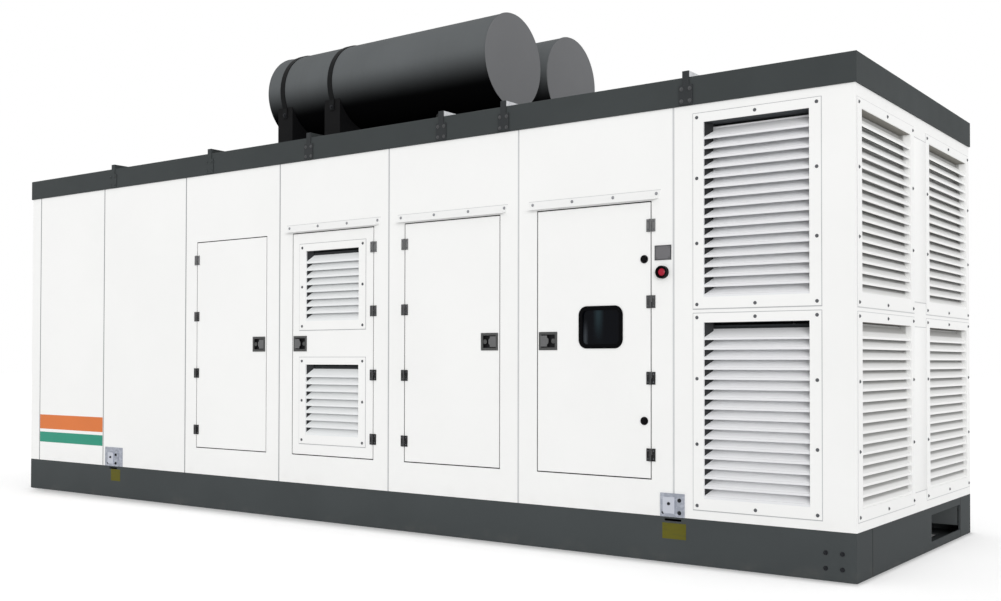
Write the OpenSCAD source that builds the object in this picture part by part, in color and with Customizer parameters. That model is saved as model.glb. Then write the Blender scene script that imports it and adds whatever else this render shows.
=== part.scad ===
// Containerised diesel generator: a white sound-proof enclosure on a steel base frame,
// with hinged doors along its long side and two exhaust silencers on its roof.
// The origin is at the middle of the underside, +X runs along the length to the louvred end,
// and -Y is the door side.

/* [Enclosure] */
// Width over the two long walls
encl_w = 2500; // [2420:10:2700]
// Height of the wall panels
wall_h = 2610; // [2560:10:2800]
// Thickness of a wall panel
wall_t = 75; // [70:1:90]
// Open joint between neighbouring wall panels
seam = 14; // [8:1:20]
// Width of the corner strip at the left end
corner_strip = 140; // [110:5:200]

/* [Base frame] */
// Height of the base frame
base_h = 290; // [260:5:340]
// Width of a side beam over its flanges
beam_w = 275; // [220:5:320]
// Plate thickness of the base beams
beam_t = 12; // [8:1:16]
// Depth of an end beam over its flanges
end_beam_d = 150; // [120:5:200]
// Width of a cross member
cross_w = 110; // [80:5:160]
// Plate thickness of a cross member
cross_t = 10; // [6:1:14]
// Height of a cross member's underside above the ground
cross_clear = 30; // [10:5:80]
// Thickness of the floor plate
floor_t = 6; // [4:1:10]
// Width of the cable opening in the right end beam
cable_w = 735; // [500:5:800]
// Height of the cable opening
cable_h = 182; // [120:2:190]
// Height of the cable opening's sill above the ground
cable_sill = 55; // [40:1:60]
// Diameter of a bolt hole in a side beam
bolt_d = 22; // [16:1:30]
// Distance between the bolt holes along the beam
bolt_dx = 100; // [60:1:140]
// Distance between the bolt holes up the beam
bolt_dz = 90; // [60:1:120]
// Distance from the beam's end to the nearest bolt holes
bolt_edge = 85; // [60:1:120]
// Height of the lower bolt holes above the ground
bolt_low = 73; // [50:1:100]

/* [Roof] */
// Height of the roof's edge beams
fascia_h = 180; // [140:5:220]
// Width of the roof's edge beams
fascia_t = 100; // [90:5:130]
// Distance that the roof's edge stands out from the walls
roof_over = 10; // [4:1:15]
// Thickness of the roof deck
deck_t = 75; // [50:5:100]
// Depth of the roof deck's top below the top of the edge beams
deck_drop = 5; // [2:1:15]
// Width of a roof rib
rib_w = 46; // [30:1:60]
// Height of a roof rib
rib_h = 40; // [30:1:60]
// Width of a rib's end bracket
bracket_w = 94; // [80:1:120]
// Height of a rib's end bracket on the edge beam
bracket_h = 125; // [100:1:132]
// Height of a rib's end bracket above the foot of the edge beam
bracket_low = 6; // [2:1:8]
// Plate thickness of a rib's end bracket
bracket_t = 8; // [5:1:12]

/* [Doors] */
// Width of a door leaf
door_w = 880; // [800:5:960]
// Width of the wall on each side of a door leaf, to the edge of its bay
stile_w = 160; // [150:2:200]
// Height of a door leaf
door_h = 1785; // [1740:5:1850]
// Height of a door's foot above the base frame
door_sill = 235; // [200:5:280]
// Clearance round a door leaf
door_gap = 8; // [6:0.5:10]
// Thickness of a door's outer sheet
skin_t = 12; // [8:1:14]
// Whole thickness of a door leaf
leaf_t = 60; // [55:1:66]
// Distance that a door's inner pan stands back from its edges
pan_step = 18; // [14:1:20]

/* [Hinges] */
// Height of a hinge
hinge_h = 82; // [70:1:110]
// Distance between neighbouring hinges on a door
hinge_pitch = 494; // [470:1:510]
// Width of one hinge plate
hinge_plate_w = 23; // [18:1:30]
// Thickness of a hinge plate
hinge_plate_t = 5; // [4:0.5:6]
// Radius of a hinge knuckle
knuckle_r = 8; // [7:0.5:8.5]
// Radius of a hinge pin
pin_r = 5; // [4:0.25:5.5]
// Running clearance between a pin and its bore
pin_clear = 0.05; // [0.03:0.01:0.09]
// Distance from the wall face out to a hinge axis
axis_out = 10; // [9.5:0.5:11]
// Gap between the two knuckles of a hinge
knuckle_gap = 2; // [1:0.5:4]

/* [Latches] */
// Width of a latch's face plate
latch_w = 150; // [130:2:170]
// Height of a latch's face plate
latch_h = 125; // [110:1:150]
// Thickness of a latch's face plate
latch_t = 4; // [3:0.5:6]
// Depth of a latch's dish behind the door's face
latch_d = 24; // [22:1:30]
// Width of a latch's face plate round its dish
latch_rim = 15; // [13:1:20]
// Distance from a door's free edge to its latch
latch_edge = 10; // [8:1:20]
// Sheet thickness of a latch's dish
dish_t = 3; // [2:0.5:4]
// Thickness of a latch's paddle
paddle_t = 6; // [4:0.5:8]
// Width of a latch's paddle over its dish
paddle_w = 53; // [44:1:56]
// Gap over and under a latch's paddle
paddle_gap = 7; // [5:1:10]
// Distance that a latch's paddle bulges over its dish at mid height
paddle_bulge = 12; // [6:1:14]
// Diameter of a latch's lock barrel
barrel_d = 34; // [28:1:38]

/* [Louvres] */
// Distance from the joint beside the louvre bay to its louvre frames
side_louvre_edge = 140; // [110:5:180]
// Distance from the end of the enclosure to the louvre frames of the long walls
side_louvre_end = 205; // [170:5:230]
// Depth of the louvres of the long walls
side_louvre_d = 120; // [100:1:140]
// Width of the post between the louvre frames of an end wall
end_post = 270; // [200:5:320]
// Distance from an end wall's edge to its louvre frames
end_margin = 25; // [15:1:50]
// Distance from the base frame up to the lower louvre frames
louvre_foot = 60; // [40:2:80]
// Distance between the lower and the upper louvre frames
louvre_gap = 30; // [20:1:50]
// Distance from the upper louvre frames of the long walls up to the roof
louvre_head = 58; // [50:2:90]
// Distance from the upper louvre frames of an end wall up to the roof
end_louvre_head = 80; // [60:2:90]
// Distance from a door's sides to its louvre frames
door_louvre_side = 77.5; // [60:0.5:100]
// Distance from a door's top or foot to its louvre frame
door_louvre_edge = 87; // [75:1:100]
// Distance between the two louvre frames of a door
door_louvre_gap = 221; // [180:1:260]
// Width of a louvre frame's flange beside the blades
louvre_side = 72; // [60:1:84]
// Width of a louvre frame's flange under the blades
louvre_rim = 72; // [60:1:84]
// Width of a louvre frame's flange over the blades
louvre_top_rim = 58; // [50:1:66]
// Thickness of a louvre frame's flange
louvre_flange_t = 4; // [3:0.5:6]
// Sheet thickness of a louvre's sleeve
sleeve_t = 3; // [2:0.5:4]
// Clearance between a louvre's sleeve and its cut-out
sleeve_clear = 0.5; // [0.3:0.1:1]
// Sheet thickness of a louvre blade
blade_t = 3; // [2:0.5:4]
// Distance between neighbouring blades of a wall louvre
blade_pitch = 62; // [54:1:66]
// Distance between neighbouring blades of a door louvre
door_blade_pitch = 58; // [52:1:62]
// Height of a blade's outer edge, which is turned down
blade_lip = 14; // [8:1:18]
// Height that a blade's inner end laps over the next blade's outer edge
blade_lap = 24; // [16:1:26]
// Height of a blade's inner edge, which is turned up
blade_back = 8; // [5:1:10]
// Distance from a blade's edges to the front and back of its sleeve
blade_inset = 4; // [2:0.5:6]
// Least free height over the top blade
blade_head = 2; // [1:0.5:6]

/* [Window] */
// Width of the window's clear opening
window_w = 312; // [280:2:340]
// Height of the window's clear opening
window_h = 256; // [220:2:300]
// Radius of the window's corners
window_r = 48; // [36:2:60]
// Distance from the door's middle to the window's middle
window_dx = 65; // [50:1:90]
// Height of the window's middle above the door's foot
window_z = 981; // [920:1:1040]
// Width of the window's seal over the door's face
seal_w = 14; // [10:1:20]
// Distance that the window's seal stands out from the door
seal_out = 6; // [4:0.5:8]
// Thickness of the window's glass
glass_t = 8; // [6:1:10]
// Distance from the door's face in to the glass
glass_in = 6; // [4:1:15]

/* [Knobs and emergency stop] */
// Diameter of a round lock knob
knob_d = 53; // [40:1:56]
// Distance that a lock knob stands out
knob_out = 14; // [10:1:20]
// Distance from the door's hinge edge to the middle of a lock knob
knob_edge = 44; // [36:1:60]
// Distance from the door's middle height to a lock knob
knob_rise = 524; // [480:2:560]
// Diameter of the emergency stop's collar
stop_d = 82; // [72:2:92]
// Wall thickness of the emergency stop's collar
stop_wall = 8; // [6:1:10]
// Gap between the emergency stop's head and its collar
stop_gap = 9; // [5:0.5:10]
// Distance that the emergency stop's collar stands out
stop_out = 32; // [26:1:40]
// Depth of the emergency stop's head inside its collar
stop_sink = 4; // [2:1:8]
// Height of the emergency stop above the base frame
stop_z = 1561; // [1500:1:1600]
// Distance from the bay's right edge to the middle of the emergency stop
stop_edge = 74; // [68:1:80]
// Width of the plate over the emergency stop
plate_w = 118; // [90:1:120]
// Height of the plate over the emergency stop
plate_h = 95; // [80:1:120]
// Thickness of the plate over the emergency stop
plate_t = 5; // [3:0.5:8]
// Distance from the middle of the emergency stop up to its plate
plate_rise = 79; // [60:1:90]

/* [Rain gutters and earth plates] */
// Distance that a rain gutter runs past the door on each side
gutter_past = 76; // [50:2:90]
// Distance from a door's top up to its rain gutter
gutter_rise = 12; // [10:1:20]
// Height of a rain gutter
gutter_h = 60; // [45:1:80]
// Distance that a rain gutter stands out from the wall
gutter_out = 45; // [45:1:60]
// Sheet thickness of a rain gutter
gutter_t = 3; // [2:0.5:4]
// Height of a rain gutter's turned edge
gutter_lip = 13; // [8:1:20]
// Fall of a rain gutter from the wall to its edge
gutter_fall = 10; // [4:1:16]
// Slant of a rain gutter's ends
gutter_slant = 20; // [10:1:40]
// Width of an earth plate
earth_w = 170; // [140:2:200]
// Height of an earth plate
earth_h = 150; // [120:2:180]
// Thickness of an earth plate
earth_t = 8; // [6:1:12]
// Width of an earth plate's raised pad
pad_w = 84; // [70:2:90]
// Height of an earth plate's raised pad
pad_h = 104; // [80:2:110]
// Distance that the raised pad stands out from its plate
pad_t = 6; // [4:1:10]
// Distance from an earth plate's left edge to its raised pad
pad_edge = 20; // [14:1:30]
// Width of the cable slot in the side beam under an earth plate
slot_w = 120; // [80:2:130]
// Height of the cable slot under an earth plate
slot_h = 15; // [10:1:20]

/* [Silencers] */
// Radius of a silencer
silencer_r = 375; // [340:5:390]
// Length of a silencer over its end caps
silencer_l = 2420; // [2200:10:2600]
// Distance from the enclosure's middle to the middle of the silencers, along the length
silencer_x = -30; // [-100:5:100]
// Distance between the axes of the two silencers
silencer_pitch = 850; // [840:5:900]
// Height of the silencers' axes above the roof deck
silencer_rise = 585; // [560:5:640]
// Sheet thickness of a silencer's shell
shell_t = 6; // [4:1:10]
// Thickness of a silencer's end cap
cap_t = 8; // [6:1:12]
// Width of a saddle along the silencer
saddle_w = 180; // [120:5:220]
// Half the width of a saddle across the silencer
saddle_half = 345; // [300:5:350]
// Height of a saddle's foot plate
saddle_foot_t = 12; // [8:1:20]
// Distance that a saddle's foot plate runs past the saddle
saddle_foot_past = 40; // [20:2:60]
// Width of a silencer strap
strap_w = 50; // [40:1:70]
// Thickness of a silencer strap
strap_t = 6; // [4:0.5:8]
// Thickness of a strap's end plate
strap_ear_t = 8; // [6:1:12]
// Height of a strap's end plate
strap_ear_h = 80; // [60:2:110]
// Clearance between a silencer and its saddles and straps
seat_clear = 0.3; // [0.2:0.05:0.6]
// Distance from a silencer's left end to its first saddle
saddle_first = 185; // [160:5:260]
// Distance between the two saddles of a silencer
saddle_pitch = 575; // [450:5:700]
// Radius of the exhaust inlet pipe under a silencer
inlet_r = 130; // [100:5:160]
// Distance from a silencer's right end to its inlet pipe
inlet_edge = 630; // [500:10:800]
// Radius of the exhaust outlet pipe
outlet_r = 110; // [80:5:140]
// Length of the exhaust outlet pipe
outlet_l = 120; // [80:5:160]
// Wall thickness of the exhaust pipes
pipe_t = 8; // [5:1:10]
// Distance that a pipe's flange stands out round the pipe
pipe_flange = 45; // [30:1:60]
// Thickness of a pipe's flange
pipe_flange_t = 16; // [10:1:20]

/* [Hidden] */
$fn = 48;
// Cutters run this far past the faces that they cut through
past = 1;

// Number of wall bays along the length, cross members under the floor and hinges on a door
bay_n = 7;
cross_n = 6;
hinge_n = 4;

bay_w = door_w + 2 * stile_w;
encl_l = bay_n * bay_w;
face_y = -encl_w / 2;
wall_top = base_h + wall_h;
roof_top = wall_top + fascia_h;
deck_top = roof_top - deck_drop;

// Every door: the bay that it stands in and the side that its hinges are on, -1 left and 1 right
doors = [[2, -1], [3, 1], [4, -1], [5, 1]];
louvre_door = 1;
window_door = 3;
gutter_doors = [1, 2, 3];
louvre_bay = bay_n - 1;
// Places of the joints round the bays along the length, counted in bays from the left end
bay_line = [for (i = [0, 1, 2, 3, 4, 5.01, 6.02, bay_n]) i * bay_w - encl_l / 2];
// Places of the roof ribs along the length, counted in bays from the middle
rib_x = [for (i = [-2.375, -1.226, -0.2125, 0.935, 1.408, 2.599]) i * bay_w];
// Places of the earth plates along the length, counted in bays from the middle
earth_x = [for (i = [-2.367, 2.514]) i * bay_w];

white = [0.95, 0.95, 0.945];
blade_white = [0.88, 0.89, 0.9];
charcoal = [0.28, 0.3, 0.3];
black = [0.06, 0.06, 0.065];
silencer_grey = [0.38, 0.39, 0.39];
galvanised = [0.64, 0.66, 0.7];
red = [0.72, 0.08, 0.07];

function bay_x(i) = bay_line[i];
function louvre_rows(h) = [base_h + louvre_foot, base_h + louvre_foot + h + louvre_gap];
function bay_mid(i) = (bay_x(i) + bay_x(i + 1)) / 2;
function door_mid(d) = bay_mid(doors[d][0]);
function hinge_side(d) = doors[d][1];
function hinge_x(d) = door_mid(d) + hinge_side(d) * (door_w / 2 + door_gap / 2);

door_foot = base_h + door_sill;
door_top = door_foot + door_h;
door_centre = door_foot + door_h / 2;
side_louvre_left = bay_x(louvre_bay) + side_louvre_edge;
side_louvre_w = encl_l / 2 - side_louvre_end - side_louvre_left;
side_louvre_mid = side_louvre_left + side_louvre_w / 2;
door_louvre_w = door_w - 2 * door_louvre_side;
door_louvre_h = (door_h - 2 * door_louvre_edge - door_louvre_gap) / 2;
side_louvre_h = (wall_h - louvre_foot - louvre_gap - louvre_head) / 2;
end_louvre_h = (wall_h - louvre_foot - louvre_gap - end_louvre_head) / 2;
end_louvre_w = (encl_w - end_post - 2 * end_margin) / 2;
end_louvre_y = (end_post + end_louvre_w) / 2;
door_louvre_rows = [door_foot + door_louvre_edge, door_top - door_louvre_edge - door_louvre_h];
silencer_z = deck_top + silencer_rise;
silencer_left = silencer_x - silencer_l / 2;
saddle_x = [silencer_left + saddle_first, silencer_left + saddle_first + saddle_pitch];

// A box between two corners
module box(low, high) {
    translate(low) cube(high - low);
}

// What stands on the door side, repeated on the far side
module on_side(far) {
    mirror([0, far ? 1 : 0, 0]) children();
}

// A flat shape with its X along the wall and its Y up, made thick from the wall face inwards
module sheet_on_face(thick, out = 0) {
    translate([0, face_y + thick - out, 0]) rotate([90, 0, 0]) linear_extrude(thick) children();
}

// A rounded rectangle about the origin
module rounded_rect(w, h, r) {
    square([w - 2 * r, h], center = true);
    square([w, h - 2 * r], center = true);
    for (x = [-1, 1], y = [-1, 1]) translate([x * (w / 2 - r), y * (h / 2 - r)]) circle(r);
}

// A profile given in Y and Z, run along X from one place to another
module along_x(from, to) {
    translate([from, 0, 0]) rotate([90, 0, 90]) linear_extrude(to - from) children();
}

// Base frame: side beams that are channels open to the inside, with closed ends
module side_beam() {
    difference() {
        box([-encl_l / 2, face_y, 0], [encl_l / 2, face_y + beam_w, base_h]);
        box([-encl_l / 2 + beam_t, face_y + beam_t, beam_t],
            [encl_l / 2 - beam_t, face_y + beam_w + past, base_h - beam_t]);
        for (i = [0, 1], j = [0, 1])
            translate([encl_l / 2 - bolt_edge - i * bolt_dx, face_y - past, bolt_low + j * bolt_dz])
                rotate([-90, 0, 0]) cylinder(d = bolt_d, h = beam_t + 2 * past);
    }
}

module base_side_beams() {
    color(charcoal) {
        on_side(true) side_beam();
        difference() {
            side_beam();
            for (x = earth_x)
                box([x - slot_w / 2, face_y - past, base_h - beam_t - slot_h],
                    [x + slot_w / 2, face_y + beam_t + past, base_h - beam_t]);
        }
    }
}

beam_inner = encl_w / 2 - beam_w;

module end_beam() {
    difference() {
        box([encl_l / 2 - end_beam_d, -beam_inner, 0], [encl_l / 2, beam_inner, base_h]);
        box([encl_l / 2 - end_beam_d - past, -beam_inner - past, beam_t],
            [encl_l / 2 - beam_t, beam_inner + past, base_h - beam_t]);
    }
}

module base_end_beams() {
    color(charcoal) {
        mirror([1, 0, 0]) end_beam();
        difference() {
            end_beam();
            box([encl_l / 2 - beam_t - past, beam_inner - cable_w, cable_sill],
                [encl_l / 2 + past, beam_inner - beam_t, cable_sill + cable_h]);
        }
    }
}

module base_cross_members() {
    top = base_h - floor_t;
    pitch = (encl_l - 2 * end_beam_d) / cross_n;
    color(charcoal) for (i = [0:cross_n - 1]) translate([(i - (cross_n - 1) / 2) * pitch, 0, 0]) {
        box([-cross_w / 2, -beam_inner, top - cross_t], [cross_w / 2, beam_inner, top]);
        box([-cross_t / 2, -beam_inner, cross_clear], [cross_t / 2, beam_inner, top]);
        box([-cross_w / 2, -beam_inner, cross_clear], [cross_w / 2, beam_inner, cross_clear + cross_t]);
    }
}

module floor_plate() {
    color(charcoal) box([-encl_l / 2 + end_beam_d, -beam_inner, base_h - floor_t],
                        [encl_l / 2 - end_beam_d, beam_inner, base_h]);
}

// Walls: one panel to a bay, with an open joint on each side
module panel(from, to) {
    box([from, face_y, base_h], [to, face_y + wall_t, wall_top]);
}

module bay_panel(i) {
    panel(bay_x(i) + seam / 2, bay_x(i + 1) - seam / 2);
}

module plain_panels() {
    panel(-encl_l / 2 + corner_strip + seam, bay_x(1) - seam / 2);
    bay_panel(1);
}

module door_panel(d) {
    difference() {
        bay_panel(doors[d][0]);
        box([door_mid(d) - door_w / 2 - door_gap, face_y - past, door_foot - door_gap],
            [door_mid(d) + door_w / 2 + door_gap, face_y + wall_t + past, door_top + door_gap]);
    }
}

// The hole that a louvre's sleeve passes through, in the louvre's own place
module louvre_hole(w, h, depth) {
    room = sleeve_t + sleeve_clear;
    box([-w / 2 + louvre_side - room, -past, louvre_rim - room],
        [w / 2 - louvre_side + room, depth + past, h - louvre_top_rim + room]);
}

module louvre_panel() {
    difference() {
        panel(bay_x(louvre_bay) + seam / 2, encl_l / 2 - wall_t);
        for (z = louvre_rows(side_louvre_h)) translate([side_louvre_mid, face_y, z])
            louvre_hole(side_louvre_w, side_louvre_h, wall_t);
    }
}

// The four louvres of an end wall, set out on the right-hand end
module at_end_louvres() {
    for (y = [-end_louvre_y, end_louvre_y], z = louvre_rows(end_louvre_h))
        translate([encl_l / 2, y, z]) rotate([0, 0, 90]) children();
}

module end_wall() {
    difference() {
        box([encl_l / 2 - wall_t, face_y, base_h], [encl_l / 2, -face_y, wall_top]);
        at_end_louvres() louvre_hole(end_louvre_w, end_louvre_h, wall_t);
    }
}

module front_plain_panels() { color(white) plain_panels(); }
module rear_plain_panels() { color(white) on_side(true) plain_panels(); }
module front_door_panel_1() { color(white) door_panel(0); }
module front_door_panel_2() { color(white) door_panel(1); }
module front_door_panel_3() { color(white) door_panel(2); }
module front_door_panel_4() { color(white) door_panel(3); }
module rear_door_panels() { color(white) on_side(true) for (d = [0:3]) door_panel(d); }
module front_louvre_panel() { color(white) louvre_panel(); }
module rear_louvre_panel() { color(white) on_side(true) louvre_panel(); }
module right_end_wall() { color(white) end_wall(); }

module left_end_wall() {
    color(white) {
        mirror([1, 0, 0]) end_wall();
        for (far = [false, true]) on_side(far)
            box([-encl_l / 2, face_y, base_h], [-encl_l / 2 + corner_strip, face_y + wall_t, wall_top]);
    }
}

// Louvres: a flanged frame with a sleeve through the wall and a stack of rain blades.
// Each blade is a sheet that falls outwards and laps over the foot of the next one,
// so that no daylight shows between them. Its outer edge is turned down and its inner edge up.
module blade_profile(depth, pitch) {
    d = depth - 2 * blade_inset;
    rise = pitch + blade_lap;
    fall = (rise - blade_lip) / d;
    sheet = blade_t * sqrt(1 + fall * fall);
    top = rise + blade_back;
    polygon([[0, 0], [blade_t, 0], [blade_t, blade_lip + fall * blade_t - sheet], [d, rise - sheet],
             [d, top], [d - blade_t, top], [d - blade_t, rise - fall * blade_t], [0, blade_lip]]);
}

module louvre(w, h, depth, pitch) {
    open_w = w - 2 * louvre_side;
    open_top = h - louvre_top_rim;
    blade_n = floor((open_top - louvre_rim - blade_lap - blade_back - blade_head) / pitch);
    difference() {
        union() {
            box([-w / 2, -louvre_flange_t, 0], [w / 2, 0, h]);
            box([-open_w / 2 - sleeve_t, -louvre_flange_t, louvre_rim - sleeve_t],
                [open_w / 2 + sleeve_t, depth, open_top + sleeve_t]);
        }
        box([-open_w / 2, -louvre_flange_t - past, louvre_rim], [open_w / 2, depth + past, open_top]);
    }
    for (i = [0:blade_n - 1])
        along_x(-open_w / 2 - sleeve_t / 2, open_w / 2 + sleeve_t / 2)
            translate([blade_inset, louvre_rim + i * pitch]) blade_profile(depth, pitch);
}

module side_louvres() {
    for (z = louvre_rows(side_louvre_h)) translate([side_louvre_mid, face_y, z])
        louvre(side_louvre_w, side_louvre_h, side_louvre_d, blade_pitch);
}

module end_louvres() {
    at_end_louvres() louvre(end_louvre_w, end_louvre_h, wall_t, blade_pitch);
}

module front_louvres() { color(blade_white) side_louvres(); }
module rear_louvres() { color(blade_white) on_side(true) side_louvres(); }
module right_end_louvres() { color(blade_white) end_louvres(); }
module left_end_louvres() { color(blade_white) mirror([1, 0, 0]) end_louvres(); }

// Roof: edge beams on the walls, a sound-proof deck between them and ribs across it
module roof_side_beams() {
    color(charcoal) for (far = [false, true]) on_side(far)
        box([-encl_l / 2 - roof_over, face_y - roof_over, wall_top],
            [encl_l / 2 + roof_over, face_y - roof_over + fascia_t, roof_top]);
}

deck_x = encl_l / 2 + roof_over - fascia_t;
deck_y = encl_w / 2 + roof_over - fascia_t;

module roof_end_beams() {
    color(charcoal) for (left = [0, 1]) mirror([left, 0, 0])
        box([deck_x, -deck_y, wall_top], [deck_x + fascia_t, deck_y, roof_top]);
}

module roof_deck() {
    color(charcoal) box([-deck_x, -deck_y, deck_top - deck_t], [deck_x, deck_y, deck_top]);
}

module roof_ribs() {
    edge = encl_w / 2 + roof_over;
    color(galvanised) for (x = rib_x)
        box([x - rib_w / 2, -edge, roof_top], [x + rib_w / 2, edge, roof_top + rib_h]);
}

module rib_bracket(x) {
    low = wall_top + bracket_low;
    translate([0, -roof_over, 0]) sheet_on_face(bracket_t, bracket_t) {
        translate([x - bracket_w / 2, low]) square([bracket_w, bracket_h]);
        translate([x - rib_w / 2, low]) square([rib_w, roof_top + rib_h - low]);
    }
}

module rib_brackets() {
    color(charcoal) for (x = rib_x, far = [false, true]) on_side(far) rib_bracket(x);
}

// Doors: an insulated leaf flush with the wall, a sheet outside and a smaller pan inside
module leaf(d) {
    difference() {
        union() {
            box([door_mid(d) - door_w / 2, face_y, door_foot],
                [door_mid(d) + door_w / 2, face_y + skin_t, door_top]);
            box([door_mid(d) - door_w / 2 + pan_step, face_y, door_foot + pan_step],
                [door_mid(d) + door_w / 2 - pan_step, face_y + leaf_t, door_top - pan_step]);
        }
        at_latch(d) latch_pocket();
    }
}

module leaf_with_louvres(d) {
    difference() {
        leaf(d);
        at_door_louvres(d) louvre_hole(door_louvre_w, door_louvre_h, leaf_t);
    }
}

module at_door_louvres(d) {
    for (z = door_louvre_rows) translate([door_mid(d), face_y, z]) children();
}

module leaf_with_window(d) {
    difference() {
        leaf(d);
        at_window(d) sheet_on_face(leaf_t + 2 * past, past) rounded_rect(window_w, window_h, window_r);
    }
}

module at_window(d) {
    translate([door_mid(d) + window_dx, 0, door_foot + window_z]) children();
}

// Hinges: a pair of plates and knuckles on a pin, seen from above with the axis at the origin
// and the plate of this half towards +X
module hinge_half(knuckle_low, knuckle_high, bore) {
    reach = knuckle_r + 1;
    box([reach, axis_out - hinge_plate_t, -hinge_h / 2], [reach + hinge_plate_w, axis_out, hinge_h / 2]);
    difference() {
        union() {
            translate([0, 0, knuckle_low]) cylinder(r = knuckle_r, h = knuckle_high - knuckle_low);
            box([0, axis_out - hinge_plate_t, knuckle_low], [reach, axis_out, knuckle_high]);
        }
        if (bore) translate([0, 0, knuckle_low - past])
            cylinder(r = pin_r + pin_clear, h = knuckle_high - knuckle_low + 2 * past);
    }
}

module hinge_on_leaf() {
    hinge_half(knuckle_gap / 2, hinge_h / 2, true);
}

module hinge_on_wall() {
    hinge_half(-hinge_h / 2, -knuckle_gap / 2, false);
    translate([0, 0, -hinge_h / 2]) cylinder(r = pin_r, h = hinge_h - knuckle_gap);
}

// Each hinge of a door; +X points from the axis to the leaf, or to the wall
module at_hinges(d, to_wall) {
    flip = (hinge_side(d) > 0) != to_wall ? 1 : 0;
    for (i = [0:hinge_n - 1])
        translate([hinge_x(d), face_y - axis_out, door_centre + (i - (hinge_n - 1) / 2) * hinge_pitch])
            mirror([flip, 0, 0]) children();
}

module leaf_hinges(d) { color(black) at_hinges(d, false) hinge_on_leaf(); }
module wall_hinges(d) { color(black) at_hinges(d, true) hinge_on_wall(); }

// Latches: a face plate with a dish let into the door, a paddle over the half of the dish
// at the door's free edge and a lock barrel in the other half. The free edge is towards -X.
module at_latch(d) {
    translate([door_mid(d) - hinge_side(d) * (door_w / 2 - latch_edge - latch_w / 2), face_y, door_centre])
        mirror([hinge_side(d) > 0 ? 0 : 1, 0, 0]) children();
}

dish_w = latch_w - 2 * latch_rim;
dish_h = latch_h - 2 * latch_rim;

module latch_pocket() {
    room = sleeve_clear;
    box([-dish_w / 2 - room, -past, -dish_h / 2 - room],
        [dish_w / 2 + room, latch_d + room, dish_h / 2 + room]);
}

module latch() {
    inner_w = dish_w - 2 * dish_t;
    inner_h = dish_h - 2 * dish_t;
    floor_in = latch_d - dish_t;
    difference() {
        union() {
            box([-latch_w / 2, -latch_t, -latch_h / 2], [latch_w / 2, 0, latch_h / 2]);
            box([-dish_w / 2, -latch_t, -dish_h / 2], [dish_w / 2, latch_d, dish_h / 2]);
        }
        box([-inner_w / 2, -latch_t - past, -inner_h / 2], [inner_w / 2, floor_in, inner_h / 2]);
    }
    translate([-dish_w / 2, paddle_t, 0]) rotate([90, 0, 0])
        linear_extrude(paddle_t + latch_t + dish_t) paddle_outline(inner_h / 2 - paddle_gap);
    translate([(dish_w - dish_t - barrel_d) / 2, floor_in, 0]) rotate([90, 0, 0])
        cylinder(d = barrel_d, h = floor_in);
}

// The paddle's far side swells to a grip at mid height
module paddle_outline(half) {
    grip = half / 3;
    polygon([[0, -half], [paddle_w, -half], [paddle_w, -2 * grip], [paddle_w + paddle_bulge, -grip],
             [paddle_w + paddle_bulge, grip], [paddle_w, 2 * grip], [paddle_w, half], [0, half]]);
}

module door_latch(d) { color(black) at_latch(d) latch(); }

// Window: a rubber seal round the opening with one pane in it
module window_seal(d) {
    at_window(d) {
        sheet_on_face(seal_out, seal_out) difference() {
            rounded_rect(window_w + 2 * seal_w, window_h + 2 * seal_w, window_r + seal_w);
            rounded_rect(window_w - 2 * seal_w, window_h - 2 * seal_w, window_r - seal_w);
        }
        sheet_on_face(glass_in) difference() {
            rounded_rect(window_w, window_h, window_r);
            rounded_rect(window_w - 2 * seal_w, window_h - 2 * seal_w, window_r - seal_w);
        }
    }
}

module window_glass(d) {
    at_window(d) translate([0, glass_in, 0]) sheet_on_face(glass_t) rounded_rect(window_w, window_h, window_r);
}

// Lock knobs on the window door, beside its hinges
module lock_knobs(d) {
    for (up = [-1, 1])
        translate([hinge_x(d) - hinge_side(d) * (door_gap / 2 + knob_edge), face_y,
                   door_centre + up * knob_rise])
            rotate([90, 0, 0]) {
                cylinder(d = knob_d, h = knob_out / 2);
                cylinder(d = knob_d * 0.72, h = knob_out);
            }
}

module door_1_leaf() { color(white) leaf(0); }
module door_2_leaf() { color(white) leaf_with_louvres(1); }
module door_3_leaf() { color(white) leaf(2); }
module door_4_leaf() { color(white) leaf_with_window(3); }
module door_1_hinges() { leaf_hinges(0); }
module door_2_hinges() { leaf_hinges(1); }
module door_3_hinges() { leaf_hinges(2); }
module door_4_hinges() { leaf_hinges(3); }
module door_1_latch() { door_latch(0); }
module door_2_latch() { door_latch(1); }
module door_3_latch() { door_latch(2); }
module door_4_latch() { door_latch(3); }

module door_2_louvres() {
    color(blade_white) at_door_louvres(louvre_door)
        louvre(door_louvre_w, door_louvre_h, leaf_t, door_blade_pitch);
}

module door_4_window_seal() { color(black) window_seal(window_door); }
module door_4_window_glass() { color([0.1, 0.12, 0.14]) window_glass(window_door); }
module door_4_lock_knobs() { color(black) lock_knobs(window_door); }
module front_wall_hinges() { for (d = [0:3]) wall_hinges(d); }

// The far side has the same doors, closed
module rear_doors() { color(white) on_side(true) for (d = [0:3]) leaf(d); }

module rear_door_hinges() {
    color(black) on_side(true) for (d = [0:3]) {
        at_hinges(d, false) hinge_on_leaf();
        at_hinges(d, true) hinge_on_wall();
    }
}

module rear_door_latches() { on_side(true) for (d = [0:3]) door_latch(d); }

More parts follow.
